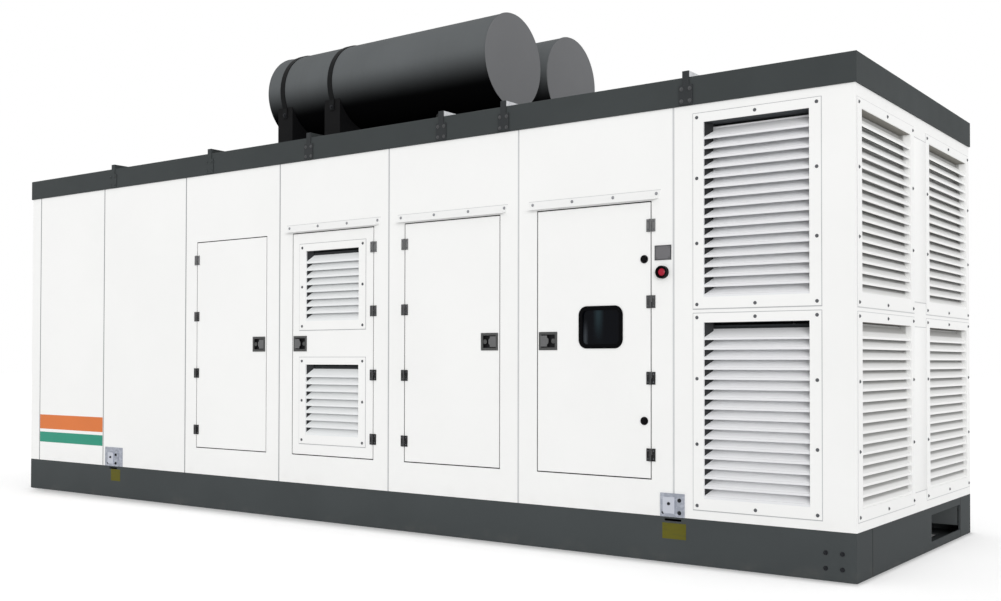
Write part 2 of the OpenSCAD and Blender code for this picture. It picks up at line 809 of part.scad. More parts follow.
// Rain gutters: a folded sheet over a door, with a turned-up edge and slanted ends
module rain_gutter(d) {
    half = door_w / 2 + gutter_past;
    translate([door_mid(d), face_y, door_top + gutter_rise]) intersection() {
        along_x(-half, half)
            polygon([[0, gutter_fall], [0, gutter_h], [-gutter_t, gutter_h],
                     [-gutter_t, gutter_fall + gutter_t],
                     [gutter_t - gutter_out, gutter_t], [gutter_t - gutter_out, gutter_lip],
                     [-gutter_out, gutter_lip], [-gutter_out, 0]]);
        rotate([90, 0, 0]) translate([0, 0, -past]) linear_extrude(gutter_out + 2 * past)
            polygon([[gutter_slant - half, 0], [half - gutter_slant, 0], [half, gutter_h], [-half, gutter_h]]);
    }
}

module front_rain_gutters() { color(white) for (d = gutter_doors) rain_gutter(d); }
module rear_rain_gutters() { color(white) on_side(true) for (d = gutter_doors) rain_gutter(d); }

// Emergency stop: a round collar with a push head inside it, and a plate over it
stop_x = bay_x(louvre_bay) - stop_edge;

module at_stop() {
    translate([stop_x, face_y, base_h + stop_z]) rotate([90, 0, 0]) children();
}

module emergency_stop_collar() {
    color(black) at_stop() difference() {
        cylinder(d = stop_d, h = stop_out);
        translate([0, 0, stop_out / 2]) cylinder(d = stop_d - 2 * stop_wall, h = stop_out);
    }
}

module emergency_stop() {
    head_d = stop_d - 2 * (stop_wall + stop_gap);
    head_h = stop_out / 2 - stop_sink;
    color(red) at_stop() translate([0, 0, stop_out / 2]) {
        cylinder(d = head_d - 2 * stop_gap, h = head_h / 2);
        translate([0, 0, head_h / 3]) cylinder(d = head_d, h = head_h / 3);
        translate([0, 0, 2 * head_h / 3]) cylinder(d1 = head_d, d2 = head_d - head_h, h = head_h / 3);
    }
}

module emergency_stop_plate() {
    color(silencer_grey) translate([stop_x, 0, base_h + stop_z + plate_rise])
        sheet_on_face(plate_t, plate_t) translate([-plate_w / 2, 0]) square([plate_w, plate_h]);
}

// Earth plates: a flat plate on the wall over the base frame, with a raised pad
module earth_plates() {
    color(galvanised) for (x = earth_x) translate([x - earth_w / 2, 0, base_h]) {
        sheet_on_face(earth_t, earth_t) square([earth_w, earth_h]);
        translate([pad_edge, 0, (earth_h - pad_h) / 2])
            sheet_on_face(earth_t + pad_t, earth_t + pad_t) square([pad_w, pad_h]);
    }
}

// Silencers: two closed drums side by side, held down on saddles by steel straps
module at_silencers() {
    for (y = [-1, 1]) translate([0, y * silencer_pitch / 2, silencer_z]) children();
}

module drum(from, to, r) {
    translate([from, 0, 0]) rotate([0, 90, 0]) cylinder(r = r, h = to - from, $fn = 96);
}

module silencer_shell() {
    difference() {
        drum(silencer_left + cap_t, silencer_left + silencer_l - cap_t, silencer_r);
        drum(silencer_left, silencer_left + silencer_l, silencer_r - shell_t);
    }
}

module front_silencer() {
    color(silencer_grey) translate([0, -silencer_pitch / 2, silencer_z]) silencer_shell();
}

module rear_silencer() {
    color(silencer_grey) translate([0, silencer_pitch / 2, silencer_z]) silencer_shell();
}

module silencer_end_caps() {
    color(silencer_grey) at_silencers() for (x = [silencer_left, silencer_left + silencer_l - cap_t])
        drum(x, x + cap_t, silencer_r);
}

module silencer_saddles() {
    horn = sqrt(pow(silencer_r, 2) - pow(saddle_half, 2));
    foot = saddle_half + saddle_foot_past;
    color(charcoal) at_silencers() for (x = saddle_x) {
        difference() {
            box([x - saddle_w / 2, -saddle_half, -silencer_rise], [x + saddle_w / 2, saddle_half, -horn]);
            drum(x - saddle_w, x + saddle_w, silencer_r + seat_clear);
        }
        box([x - saddle_w / 2 - saddle_foot_past, -foot, -silencer_rise],
            [x + saddle_w / 2 + saddle_foot_past, foot, -silencer_rise + saddle_foot_t]);
    }
}

module silencer_straps() {
    inner = silencer_r + seat_clear;
    outer = inner + strap_t;
    horn = sqrt(pow(outer, 2) - pow(saddle_half, 2));
    color(black) at_silencers() for (x = saddle_x) {
        difference() {
            drum(x - strap_w / 2, x + strap_w / 2, outer);
            drum(x - strap_w, x + strap_w, inner);
            box([x - strap_w, -saddle_half, -outer - past], [x + strap_w, saddle_half, 0]);
        }
        for (side = [0, 1]) mirror([0, side, 0]) difference() {
            box([x - strap_w / 2, saddle_half, -horn - strap_ear_h],
                [x + strap_w / 2, saddle_half + strap_ear_t, -horn + strap_ear_t]);
            drum(x - strap_w, x + strap_w, inner);
        }
    }
}

// Exhaust pipes: an inlet that stands on the roof deck and an outlet at the left end
module exhaust_inlets() {
    x = silencer_left + silencer_l - inlet_edge;
    color(charcoal) at_silencers() difference() {
        translate([x, 0, -silencer_rise]) {
            cylinder(r = inlet_r, h = silencer_rise);
            cylinder(r = inlet_r + pipe_flange, h = pipe_flange_t);
        }
        translate([x, 0, -silencer_rise - past]) cylinder(r = inlet_r - pipe_t, h = silencer_rise + 2 * past);
        drum(x - 2 * inlet_r, x + 2 * inlet_r, silencer_r + seat_clear);
    }
}

module exhaust_outlets() {
    end = silencer_left - outlet_l;
    color(charcoal) at_silencers() difference() {
        union() {
            drum(end, silencer_left, outlet_r);
            drum(end, end + pipe_flange_t, outlet_r + pipe_flange);
        }
        drum(end - past, silencer_left + past, outlet_r - pipe_t);
    }
}

base_side_beams();
base_end_beams();
base_cross_members();
floor_plate();
front_plain_panels();
front_door_panel_1();
front_door_panel_2();
front_door_panel_3();
front_door_panel_4();
front_louvre_panel();
rear_plain_panels();
rear_door_panels();
rear_louvre_panel();
right_end_wall();
left_end_wall();
front_louvres();
rear_louvres();
right_end_louvres();
left_end_louvres();
roof_side_beams();
roof_end_beams();
roof_deck();
roof_ribs();
rib_brackets();
door_1_leaf();
door_1_hinges();
door_1_latch();
door_2_leaf();
door_2_hinges();
door_2_latch();
door_2_louvres();
door_3_leaf();
door_3_hinges();
door_3_latch();
door_4_leaf();
door_4_hinges();
door_4_latch();
door_4_window_seal();
door_4_window_glass();
door_4_lock_knobs();
front_wall_hinges();
rear_doors();
rear_door_hinges();
rear_door_latches();
front_rain_gutters();
rear_rain_gutters();
emergency_stop_collar();
emergency_stop();
emergency_stop_plate();
earth_plates();
front_silencer();
rear_silencer();
silencer_end_caps();
silencer_saddles();
silencer_straps();
exhaust_inlets();
exhaust_outlets();
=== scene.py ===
# A containerised diesel generator: white sound-proof walls on a grey steel base, with a flat roof
# that carries two exhaust silencers. The door side faces -Y and the louvred end +X.
import math

import bmesh
import bpy
from mathutils import Matrix, Quaternion, Vector


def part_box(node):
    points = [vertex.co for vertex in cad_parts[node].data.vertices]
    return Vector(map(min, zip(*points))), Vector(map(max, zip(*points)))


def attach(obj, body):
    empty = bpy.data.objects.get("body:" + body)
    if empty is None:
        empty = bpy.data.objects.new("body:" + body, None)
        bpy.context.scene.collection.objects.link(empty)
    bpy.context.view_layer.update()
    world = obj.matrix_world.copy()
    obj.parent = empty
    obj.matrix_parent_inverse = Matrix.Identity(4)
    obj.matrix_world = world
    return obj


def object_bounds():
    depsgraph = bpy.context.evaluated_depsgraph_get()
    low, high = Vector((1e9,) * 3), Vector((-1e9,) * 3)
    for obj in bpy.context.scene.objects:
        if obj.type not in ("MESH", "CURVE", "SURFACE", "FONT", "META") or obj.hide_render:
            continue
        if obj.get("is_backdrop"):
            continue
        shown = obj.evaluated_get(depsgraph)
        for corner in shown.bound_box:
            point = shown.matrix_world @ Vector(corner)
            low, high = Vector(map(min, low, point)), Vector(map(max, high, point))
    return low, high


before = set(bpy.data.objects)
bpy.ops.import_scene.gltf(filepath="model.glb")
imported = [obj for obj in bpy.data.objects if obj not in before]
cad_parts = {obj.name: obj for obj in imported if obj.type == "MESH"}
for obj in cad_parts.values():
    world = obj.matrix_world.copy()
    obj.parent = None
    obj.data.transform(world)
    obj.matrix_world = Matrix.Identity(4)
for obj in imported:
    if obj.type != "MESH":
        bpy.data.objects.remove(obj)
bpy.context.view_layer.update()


# Base frame: channels of 12 mm steel plate, welded, shot-blasted and sprayed satin grey. The end
# beams are let in between the side beams, and a floor plate lies on cross members inside.
class Strand:
    """One socket in the node tree of a finish; sums on it add Math nodes."""

    def __init__(self, tree, socket=None):
        self.tree, self.socket = tree, socket

    def node(self, kind, settings=None, inputs=None, output=0):
        made = self.tree.nodes.new("ShaderNode" + kind)
        for name, value in (settings or {}).items():
            setattr(made, name, value)
        for name, value in (inputs or {}).items():
            if isinstance(value, Strand):
                self.tree.links.new(value.socket, made.inputs[name])
            else:
                made.inputs[name].default_value = value
        return Strand(self.tree, made.outputs[output])

    def sum(self, how, *values):
        return self.node("Math", {"operation": how}, dict(enumerate(values)))

    def __add__(self, other):
        return self.sum("ADD", self, other)

    def __sub__(self, other):
        return self.sum("SUBTRACT", self, other)

    def __rsub__(self, other):
        return self.sum("SUBTRACT", other, self)

    def __mul__(self, other):
        return self.sum("MULTIPLY", self, other)

    def __lt__(self, other):
        return self.sum("LESS_THAN", self, other)

    def __gt__(self, other):
        return self.sum("GREATER_THAN", self, other)

    def __or__(self, other):
        return self.sum("MAXIMUM", self, other)

    def __abs__(self):
        return self.sum("ABSOLUTE", self)

    __radd__, __rmul__, __ror__ = __add__, __mul__, __or__

    def fade(self, start, end):
        return self.node("MapRange", {"interpolation_type": "SMOOTHSTEP"},
                         {"Value": self, "From Min": start, "From Max": end})

    def noise(self, scale, detail=3.0, stretch=(1, 1, 1)):
        place = self.node("Mapping", inputs={"Vector": self, "Scale": stretch})
        return self.node("TexNoise", inputs={"Vector": place, "Scale": scale, "Detail": detail})

    def mix(self, without, within):
        return self.node("Mix", {"data_type": "RGBA"}, {0: self, 6: without, 7: within}, 2)

    def into(self, shader, socket):
        self.tree.links.new(self.socket, shader.inputs[socket])


def start_finish(name, **fixed):
    finish = bpy.data.materials.new(name)
    finish.use_nodes = True
    skin = finish.node_tree.nodes["Principled BSDF"]
    for socket, value in fixed.items():
        skin.inputs[socket.replace("_", " ")].default_value = value
    place = Strand(finish.node_tree).node("TexCoord", output="Object")
    split = place.node("SeparateXYZ", inputs={0: place}).socket.node.outputs
    return finish, skin, place, [Strand(place.tree, split[i]) for i in range(3)]


def tint(colour, by):
    return tuple(min(1.0, c * by) for c in colour) + (1.0,)


def lay_marks(skin, place, axes, shade, sheen, marks):
    for mark in marks:
        mask, mark_colour, mark_rough = mark(place, *axes)
        shade = mask.mix(shade, mark_colour)
        sheen = mask * mark_rough + (1 - mask) * sheen
    shade.into(skin, "Base Color")
    sheen.into(skin, "Roughness")


def sprayed(name, colour, rough, marks=(), drift=0.05, peel=0.0004, **fixed):
    """A sprayed coat with orange peel, a slight drift of shade and sheen, and marks laid over it."""
    finish, skin, place, axes = start_finish(name, **fixed)
    cloud = place.noise(1.3, 5.0)
    shade = cloud.fade(0.3, 0.7).mix(tint(colour, 1 - drift), tint(colour, 1 + drift))
    sheen = rough + (place.noise(6.0, 4.0) - 0.5) * 0.16
    lay_marks(skin, place, axes, shade, sheen, marks)
    grain = place.noise(380.0, 2.0)
    place.node("Bump", inputs={"Height": grain, "Strength": 0.35, "Distance": peel}).into(skin, "Normal")
    return finish


def dress(finish, *names):
    for name in names:
        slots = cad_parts[name].data.materials
        slots.clear()
        slots.append(finish)


wall_x, wall_y, beam_joint = 4.2, 1.25, 0.975
weld_half, weld_end, splash_height, hair = 0.003, 0.01, 0.11, 0.0005
paint_grey = (0.06, 0.067, 0.069)


def weld_line(place, x, y, z):
    ripple = place.noise(160.0, 2.0) * 0.004
    on_joint = abs(abs(y) - beam_joint) < weld_half + ripple
    return on_joint * (abs(x) > wall_x - weld_end), (0.012, 0.012, 0.012, 1), 0.6


def splash(place, x, y, z):
    spread = place.noise(9.0, 6.0).fade(0.45, 0.75)
    return (1 - z.fade(0.0, splash_height)) * spread * 0.2, (0.14, 0.132, 0.12, 1), 0.8


# Painted shade: both end faces of the base are painted a little darker than its front and back.
def end_faces_painted_darker(place, x, y, z):
    return abs(x) > wall_x - hair, (0.052, 0.058, 0.06, 1), 0.62


frame_paint = sprayed("base_frame_grey_paint", paint_grey, 0.62, [end_faces_painted_darker, splash, weld_line],
                      Specular_IOR_Level=0.05)
dress(frame_paint, "base_side_beams", "base_end_beams", "base_cross_members")


def scuffs(place, x, y, z):
    worn = place.noise(2.2, 7.0).fade(0.5, 0.72) * place.noise(40.0, 3.0, (1, 0.1, 1)).fade(0.4, 0.7)
    return worn * 0.6, (0.2, 0.2, 0.205, 1), 0.45


floor_paint = sprayed("floor_plate_paint", (0.1, 0.105, 0.11), 0.55, [scuffs])
dress(floor_paint, "floor_plate")


# Base bolts: hexagon bolts with washers that plug the holes for lifting lugs at the right-hand end
# of both side beams. They are blackened steel, screwed up hand-tight from outside.
def add_screw(shape, place, outward, radius, rise, sides=12):
    """A washer that lies on a face at a place, under a head that tapers outward."""
    place, outward = Vector(place), Vector(outward)
    turn = outward.to_track_quat("Z", "Y").to_matrix().to_4x4()
    washer = 1.5 * radius, 1.4 * radius, 0.0, 0.3 * rise, 16
    head = radius, 0.76 * radius, 0.3 * rise, rise, sides
    for wide, narrow, low, high, count in (washer, head):
        middle = Matrix.Translation(place + outward * (low + high) / 2)
        bmesh.ops.create_cone(shape, cap_ends=True, segments=count, radius1=wide, radius2=narrow,
                              depth=high - low, matrix=middle @ turn)


def place_piece(name, shape, finish, body="enclosure"):
    mesh = bpy.data.meshes.new(name)
    shape.to_mesh(mesh)
    shape.free()
    mesh.materials.append(finish)
    mesh.shade_smooth()
    mesh.set_sharp_from_angle(angle=math.radians(32))
    thing = bpy.data.objects.new(name, mesh)
    bpy.context.scene.collection.objects.link(thing)
    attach(thing, body)


bolt_black = sprayed("bolt_blackened_steel", (0.016, 0.017, 0.02), 0.5, drift=0.1, Metallic=0.2,
                     Specular_IOR_Level=0.2)
bolt_columns, bolt_rows, bolt_radius, bolt_rise = (4.015, 4.115), (0.073, 0.163), 0.0095, 0.011
beam_bolts = bmesh.new()
for x in bolt_columns:
    for z in bolt_rows:
        for side in (-1, 1):
            add_screw(beam_bolts, (x, side * wall_y, z), (0, side, 0), bolt_radius, bolt_rise, 6)
place_piece("base_beam_bolts", beam_bolts, bolt_black)


# Marks on the base: two plain patches of yellow paint on the front beam, one under each earth
# plate, brushed on through a stencil over the grey. A liner plate stands inside the cable opening.
def add_block(shape, low, high, ease=0.0):
    """A box from corner to corner, with its edges eased where a radius is given."""
    low, high = Vector(low), Vector(high)
    place = Matrix.Translation((low + high) / 2) @ Matrix.Diagonal((*(high - low), 1))
    corners = bmesh.ops.create_cube(shape, size=1.0, matrix=place)["verts"]
    if ease:
        edges = list({edge for corner in corners for edge in corner.link_edges})
        bmesh.ops.bevel(shape, geom=edges, offset=ease, offset_type="OFFSET", segments=2,
                        profile=0.5, affect="EDGES", material=-1)


plate_ease, patch_thick = 0.001, 0.0008
liner_low, liner_high = (3.5, beam_joint - 0.007, 0.085), (4.18, beam_joint - 0.001, 0.275)
liner = bmesh.new()
add_block(liner, liner_low, liner_high, plate_ease)
liner_paint = sprayed("liner_plate_paint", (0.085, 0.092, 0.094), 0.62, Specular_IOR_Level=0.05)
place_piece("cable_opening_liner", liner, liner_paint)

patch_edges = (-2.873, -2.73, 0.153, 0.262), (2.943, 3.111, 0.15, 0.251)
patches = bmesh.new()
for left, right, low, high in patch_edges:
    add_block(patches, (left, -wall_y - patch_thick, low), (right, -wall_y, high))


def brush_wear(place, x, y, z):
    return place.noise(22.0, 5.0, (1, 1, 3)).fade(0.5, 0.8) * 0.5, (0.06, 0.06, 0.03, 1), 0.6


yellow_paint = sprayed("yellow_patch_paint", (0.105, 0.097, 0.012), 0.6, [brush_wear], 0.15,
                       Specular_IOR_Level=0.12)
place_piece("yellow_paint_patches", patches, yellow_paint)


# Walls: sandwich panels of white powder-coated sheet over mineral wool, one to a bay, with dark
# sound-proof foam on the inside. The joints between them are filled with pale grey mastic.
white = (0.868, 0.869, 0.86)
wall_foot, wall_top, wall_lining, dust_top = 0.29, 2.9, 0.0745, 0.4


def foam_cells(place):
    cells = place.node("TexVoronoi", inputs={"Vector": place, "Scale": 90.0})
    return cells.fade(0.1, 0.7).mix((0.02, 0.02, 0.022, 1), (0.055, 0.055, 0.058, 1))


def foam_lining(place, x, y, z):
    inside = (abs(y) < wall_y - wall_lining) * (abs(x) < wall_x - wall_lining)
    return inside, foam_cells(place), 0.95


def foot_dust(place, x, y, z):
    spread = place.noise(7.0, 6.0).fade(0.4, 0.8)
    return (1 - z.fade(wall_foot, dust_top)) * spread * 0.08, (0.5, 0.47, 0.42, 1), 0.75


wall_coat = sprayed("wall_white_coat", white, 0.4, [foot_dust, foam_lining], 0.01, Specular_IOR_Level=0.3)
dress(wall_coat, "front_plain_panels", "front_door_panel_1", "front_door_panel_2", "front_door_panel_3",
      "front_door_panel_4", "front_louvre_panel", "rear_plain_panels", "rear_door_panels",
      "rear_louvre_panel", "right_end_wall", "left_end_wall")


def span(side, *depths):
    """The two depths on one side of the part, with the lower coordinate first."""
    return sorted(side * depth for depth in depths)


panel_joints = -4.053, -3.0, -1.8, -0.6, 0.6, 1.812, 3.024
joint_half, joint_face, joint_back = 0.007, wall_y - 0.0015, wall_y - 0.06
mastic = bmesh.new()
for joint in panel_joints:
    for side in (-1, 1):
        low, high = span(side, joint_face, joint_back)
        add_block(mastic, (joint - joint_half, low, wall_foot), (joint + joint_half, high, wall_top))


def old_mastic(place, x, y, z):
    return x.fade(3.0, -3.6), (0.26, 0.265, 0.275, 1), 0.75


mastic_grey = sprayed("joint_pale_mastic", (0.58, 0.585, 0.595), 0.7, [old_mastic], Specular_IOR_Level=0.2)
place_piece("wall_joint_mastic", mastic, mastic_grey)


# Coloured bands: two plain strips of vinyl film, orange over green, laid straight across the first
# wall panel on both long sides.
band_left, band_right, film_thick = -4.044, -3.009, 0.0006
for name, colour, foot, top in (("orange_wall_band", (0.66, 0.17, 0.035), 0.6, 0.74),
                                ("green_wall_band", (0.014, 0.26, 0.17), 0.47, 0.57)):
    band = bmesh.new()
    for side in (-1, 1):
        low, high = span(side, wall_y, wall_y + film_thick)
        add_block(band, (band_left, low, foot), (band_right, high, top))
    film = sprayed(name + "_film", colour, 0.35, drift=0.04, peel=0.0002, Specular_IOR_Level=0.25)
    place_piece(name, band, film)


# Louvres: folded frames with a sleeve through the wall and a stack of sloping rain blades, white
# powder-coated, each frame held by ten pan-head screws on washers. On the long walls and the door
# the sleeves are darkened with painted shade, and a dark strip of painted shade fills their
# left-hand corners; the long walls' blades are painted whiter, as painted light, with darker lips.
# On the ends the sleeve ceilings and the deep parts of the blades are dark with painted shade.
side_low, side_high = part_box("front_louvres")
side_middle, side_half = (side_low.x + side_high.x) / 2, (side_high.x - side_low.x) / 2
side_height, end_height, flange, flange_top = 1.231, 1.22, 0.072, 0.058
end_low, end_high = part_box("right_end_louvres")
end_half = 0.545
end_middle = end_high.y - end_half
side_rows = side_low.z, side_high.z - side_height
end_rows = end_low.z, end_high.z - end_height
touch, lip_deep, sleeve_shade_deep, head_drop, head_half = 0.0015, 0.006, 0.035, 0.018, 0.02


def overhead(z, rows, height):
    low, high = (row + height - flange_top for row in rows)
    return (abs(z - low) < touch) | (abs(z - high) < touch)


# Painted shade: the side walls and ceilings of the long walls' sleeves, and a band over the head of the
# lower louvre, are painted near black.
def sleeve_painted_shade(place, x, y, z):
    on_side = abs(x - side_middle) > side_half - flange - touch
    side_wall = on_side * abs(y).fade(wall_y - lip_deep, wall_y - sleeve_shade_deep)
    ceiling = overhead(z, side_rows, side_height) * (abs(y) < wall_y - 0.003)
    head = side_rows[0] + side_height - flange_top - head_drop
    low_head = (abs(z - head) < head_half) * abs(y).fade(wall_y - 0.012, wall_y - 0.03)
    return side_wall | ceiling | low_head, (0.045, 0.05, 0.055, 1), 0.9


# Painted light: behind their lips the long walls' blades are painted whiter than the walls, against the
# shade between the blades; the lips are a darker grey.
def blades_painted_lighter(place, x, y, z):
    return abs(y) < wall_y - 0.0075, (0.955, 0.96, 0.975, 1), 0.5


def darker_blade_lips(place, x, y, z):
    return abs(abs(y) - wall_y + 0.004) < 0.0035, (0.78, 0.785, 0.8, 1), 0.5


# Painted shade on the end louvres: the sleeve ceilings are painted a dark brownish grey, and the deep parts
# of the blades a darker grey that reaches nearer the face on the lower louvres.
def sleeve_ceiling_painted_shade(place, x, y, z):
    return overhead(z, end_rows, end_height) * (abs(x) < wall_x - 0.003), (0.25, 0.24, 0.215, 1), 0.8


def end_blades_painted_shade(place, x, y, z):
    return (wall_x - abs(x) - z * 0.01).fade(0.012, 0.024) * 0.9, (0.42, 0.42, 0.412, 1), 0.7


door_louvre_low, door_louvre_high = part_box("door_2_louvres")
door_louvre_middle = (door_louvre_low.x + door_louvre_high.x) / 2
door_louvre_half = (door_louvre_high.x - door_louvre_low.x) / 2
door_louvre_height, door_shade_end, door_head_drop, door_head_half = 0.695, 0.02, 0.016, 0.018
door_rows = door_louvre_low.z, door_louvre_high.z - door_louvre_height


# The door louvre's blades are painted a darker grey than the leaf.
def darker_door_blades(place, x, y, z):
    return abs(y) < wall_y - hair, (0.8, 0.815, 0.82, 1), 0.5


# Painted shade: the sides of the door louvre's sleeve and a band under each head are painted near black.
def door_sleeve_painted_shade(place, x, y, z):
    on_side = abs(x - door_louvre_middle) > door_louvre_half - flange - touch
    low_head, high_head = (row + door_louvre_height - flange_top - door_head_drop for row in door_rows)
    head = (abs(z - low_head) < door_head_half) | (abs(z - high_head) < door_head_half)
    inwards = abs(y).fade(wall_y - lip_deep, wall_y - door_shade_end)
    return (on_side | head) * inwards, (0.03, 0.033, 0.035, 1), 0.9


for marks, *names in (([blades_painted_lighter, darker_blade_lips, sleeve_painted_shade], "front_louvres", "rear_louvres"),
                      ([end_blades_painted_shade, sleeve_ceiling_painted_shade], "right_end_louvres", "left_end_louvres"),
                      ([darker_door_blades, door_sleeve_painted_shade], "door_2_louvres")):
    dress(sprayed(names[0] + "_white_coat", white, 0.42, marks, 0.01, Specular_IOR_Level=0.3), *names)

shade_strip_recess = 0.009
wall_shade_strip_wide, wall_shade_strip_deep, door_shade_strip_wide, door_shade_strip_deep = 0.032, 0.062, 0.045, 0.035


def add_corner(shape, left, side, low, high, wide, deep):
    """A dark strip of three-cornered section, painted shade, that stands in the left-hand corner of a
    sleeve.
    """
    front, back = (side * (wall_y - depth) for depth in (shade_strip_recess, shade_strip_recess + deep))
    plan = [shape.verts.new((x, y, low)) for x, y in ((left, front), (left, back), (left + wide, back))]
    foot = shape.faces.new(plan)
    raised = bmesh.ops.extrude_face_region(shape, geom=[foot], use_keep_orig=True)["geom"]
    corners = [part for part in raised if isinstance(part, bmesh.types.BMVert)]
    bmesh.ops.translate(shape, verts=corners, vec=(0, 0, high - low))
    bmesh.ops.recalc_face_normals(shape, faces=shape.faces)


# The corner strips are painted shade: near-black solids set where the sleeves' corners lie in shade.
shade_strip_paint = sprayed("sleeve_corner_painted_shade", (0.035, 0.036, 0.038), 0.95, drift=0.2, peel=0.001,
               Specular_IOR_Level=0.05)
wall_shade_strips, door_shade_strips = bmesh.new(), bmesh.new()
for low in side_rows:
    for side in (-1, 1):
        add_corner(wall_shade_strips, side_low.x + flange, side, low + flange, low + side_height - flange_top,
                   wall_shade_strip_wide, wall_shade_strip_deep)
for low in door_rows:
    add_corner(door_shade_strips, door_louvre_low.x + flange, -1, low + flange,
               low + door_louvre_height - flange_top, door_shade_strip_wide, door_shade_strip_deep)
place_piece("louvre_corner_shade_strips", wall_shade_strips, shade_strip_paint)
place_piece("door_2_corner_shade_strips", door_shade_strips, shade_strip_paint, "door_2")

louvre_inset, screw_radius, screw_rise = 0.026, 0.0075, 0.006


def frame_screws(half, low, high):
    across = half - louvre_inset
    thirds = [low + (high - low) * part for part in (1 / 3, 2 / 3)]
    spots = [(u, z) for u in (-across, 0, across) for z in (low + louvre_inset, high - louvre_inset)]
    return spots + [(u, z) for u in (-across, across) for z in thirds]


screw_steel = sprayed("screw_dull_zinc", (0.1, 0.104, 0.112), 0.5, drift=0.12, Metallic=0.2,
                      Specular_IOR_Level=0.3)
screws = bmesh.new()
for low in side_rows:
    for u, z in frame_screws(side_half, low, low + side_height):
        for side in (-1, 1):
            spot = (side_middle + u, side * -side_low.y, z)
            add_screw(screws, spot, (0, side, 0), screw_radius, screw_rise)
for low in end_rows:
    for u, z in frame_screws(end_half, low, low + end_height):
        for end in (-1, 1):
            for middle in (-end_middle, end_middle):
                spot = (end * end_high.x, middle + u, z)
                add_screw(screws, spot, (end, 0, 0), screw_radius, screw_rise)
place_piece("louvre_screws", screws, screw_steel)

door_louvre_inset = 0.03
door_screws = bmesh.new()
for low in door_rows:
    for x in (door_louvre_low.x + door_louvre_inset, door_louvre_high.x - door_louvre_inset):
        for rise in (door_louvre_inset, door_louvre_height / 2, door_louvre_height - door_louvre_inset):
            spot = (x, door_louvre_low.y, low + rise)
            add_screw(door_screws, spot, (0, -1, 0), screw_radius, screw_rise)
place_piece("door_2_louvre_screws", door_screws, screw_steel, "door_2")


# Frame sealant: a fine bead of grey sealant runs round the outside of each louvre frame, fuller
# along its foot, and also stands as painted shade lines round the frames. It is paler on the ends
# and over the rain gutters, where less shade is painted.
bead_wide, bead_foot, bead_proud, gutter_top = 0.004, 0.006, 0.0015, 2.382


def add_rim(shape, left, right, low, high, side, wall, across):
    near, far = span(side, wall, wall + bead_proud)
    foot, top = low - bead_foot, high + bead_wide
    for u0, u1, z0, z1 in ((left - bead_wide, left, foot, top), (right, right + bead_wide, foot, top),
                           (left, right, foot, low), (left, right, high, top)):
        if across == "x":
            add_block(shape, (u0, near, z0), (u1, far, z1))
        else:
            add_block(shape, (near, u0, z0), (far, u1, z1))


# Painted shade: the beads are darker round the frames and paler on the ends and over the gutters.
def paler_shade_bead(place, x, y, z):
    on_end = abs(x) > wall_x - 0.001
    over_gutter = (z > gutter_top - 0.001) * (x < side_low.x - 0.05)
    return on_end | over_gutter, (0.6, 0.605, 0.61, 1), 0.7


sealant_and_shade_grey = sprayed("frame_sealant_shade_lines", (0.44, 0.445, 0.455), 0.7, [paler_shade_bead], 0.08,
                       Specular_IOR_Level=0.2)
wall_rims = bmesh.new()
for side in (-1, 1):
    for low in side_rows:
        add_rim(wall_rims, side_low.x, side_high.x, low, low + side_height, side, wall_y, "x")
    for low in end_rows:
        for middle in (-end_middle, end_middle):
            left, right = middle - end_half, middle + end_half
            add_rim(wall_rims, left, right, low, low + end_height, side, wall_x, "y")
place_piece("louvre_frame_sealant_shade_lines", wall_rims, sealant_and_shade_grey)
door_rims = bmesh.new()
for low in door_rows:
    add_rim(door_rims, door_louvre_low.x, door_louvre_high.x, low, low + door_louvre_height, -1, wall_y, "x")
place_piece("door_2_louvre_sealant_shade_lines", door_rims, sealant_and_shade_grey, "door_2")


# End posts: a thin white cover strip lies between the louvre frames on the middle post of each end,
# with a bead of sealant along its foot and top.
post_half, cover_thick, cover_bead, cover_rise, cover_drop = 0.131, 0.003, 0.005, 0.075, 0.063
covers, cover_beads = bmesh.new(), bmesh.new()
for row in end_rows:
    foot, top = row + cover_rise, row + end_height - cover_drop
    for end in (-1, 1):
        low, high = span(end, wall_x, wall_x + cover_thick)
        add_block(covers, (low, -post_half, foot), (high, post_half, top), plate_ease)
        for z in (foot - cover_bead, top):
            add_block(cover_beads, (low, -post_half, z), (high, post_half, z + cover_bead))
place_piece("end_post_covers", covers, wall_coat)
place_piece("end_post_sealant", cover_beads, sealant_and_shade_grey)


# Doors: flush leaves of white sheet with an insulated pan behind, lined with the same foam. A black
# rubber strip runs round the edge of each doorway near the face, where it also stands as painted
# shade in the door gap, and leaves the leaf free to swing.
pan_deep = 0.0595


def pan_lining(place, x, y, z):
    return abs(y) < wall_y - pan_deep, foam_cells(place), 0.95


door_coat = sprayed("door_white_coat", white, 0.38, [pan_lining], 0.01, Specular_IOR_Level=0.3)
dress(door_coat, "door_1_leaf", "door_2_leaf", "door_3_leaf", "door_4_leaf", "rear_doors")

hinge_sides = {"door_1": -1, "door_2": 1, "door_3": -1, "door_4": 1}
door_middles = {}
door_gap, strip_wide, strip_ease = 0.008, 0.005, 0.0015
strip_front, strip_back = wall_y - 0.0025, wall_y - 0.03
strips = bmesh.new()
for door in hinge_sides:
    leaf_low, leaf_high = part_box(door + "_leaf")
    door_middles[door] = (leaf_low.x + leaf_high.x) / 2
    left, right = leaf_low.x - door_gap, leaf_high.x + door_gap
    foot, top = leaf_low.z - door_gap, leaf_high.z + door_gap
    for side in (-1, 1):
        front, back = span(side, strip_front, strip_back)
        for low, high in (((left, front, foot), (left + strip_wide, back, top)),
                          ((right - strip_wide, front, foot), (right, back, top)),
                          ((left, front, foot), (right, back, foot + strip_wide)),
                          ((left, front, top - strip_wide), (right, back, top))):
            add_block(strips, low, high, strip_ease)
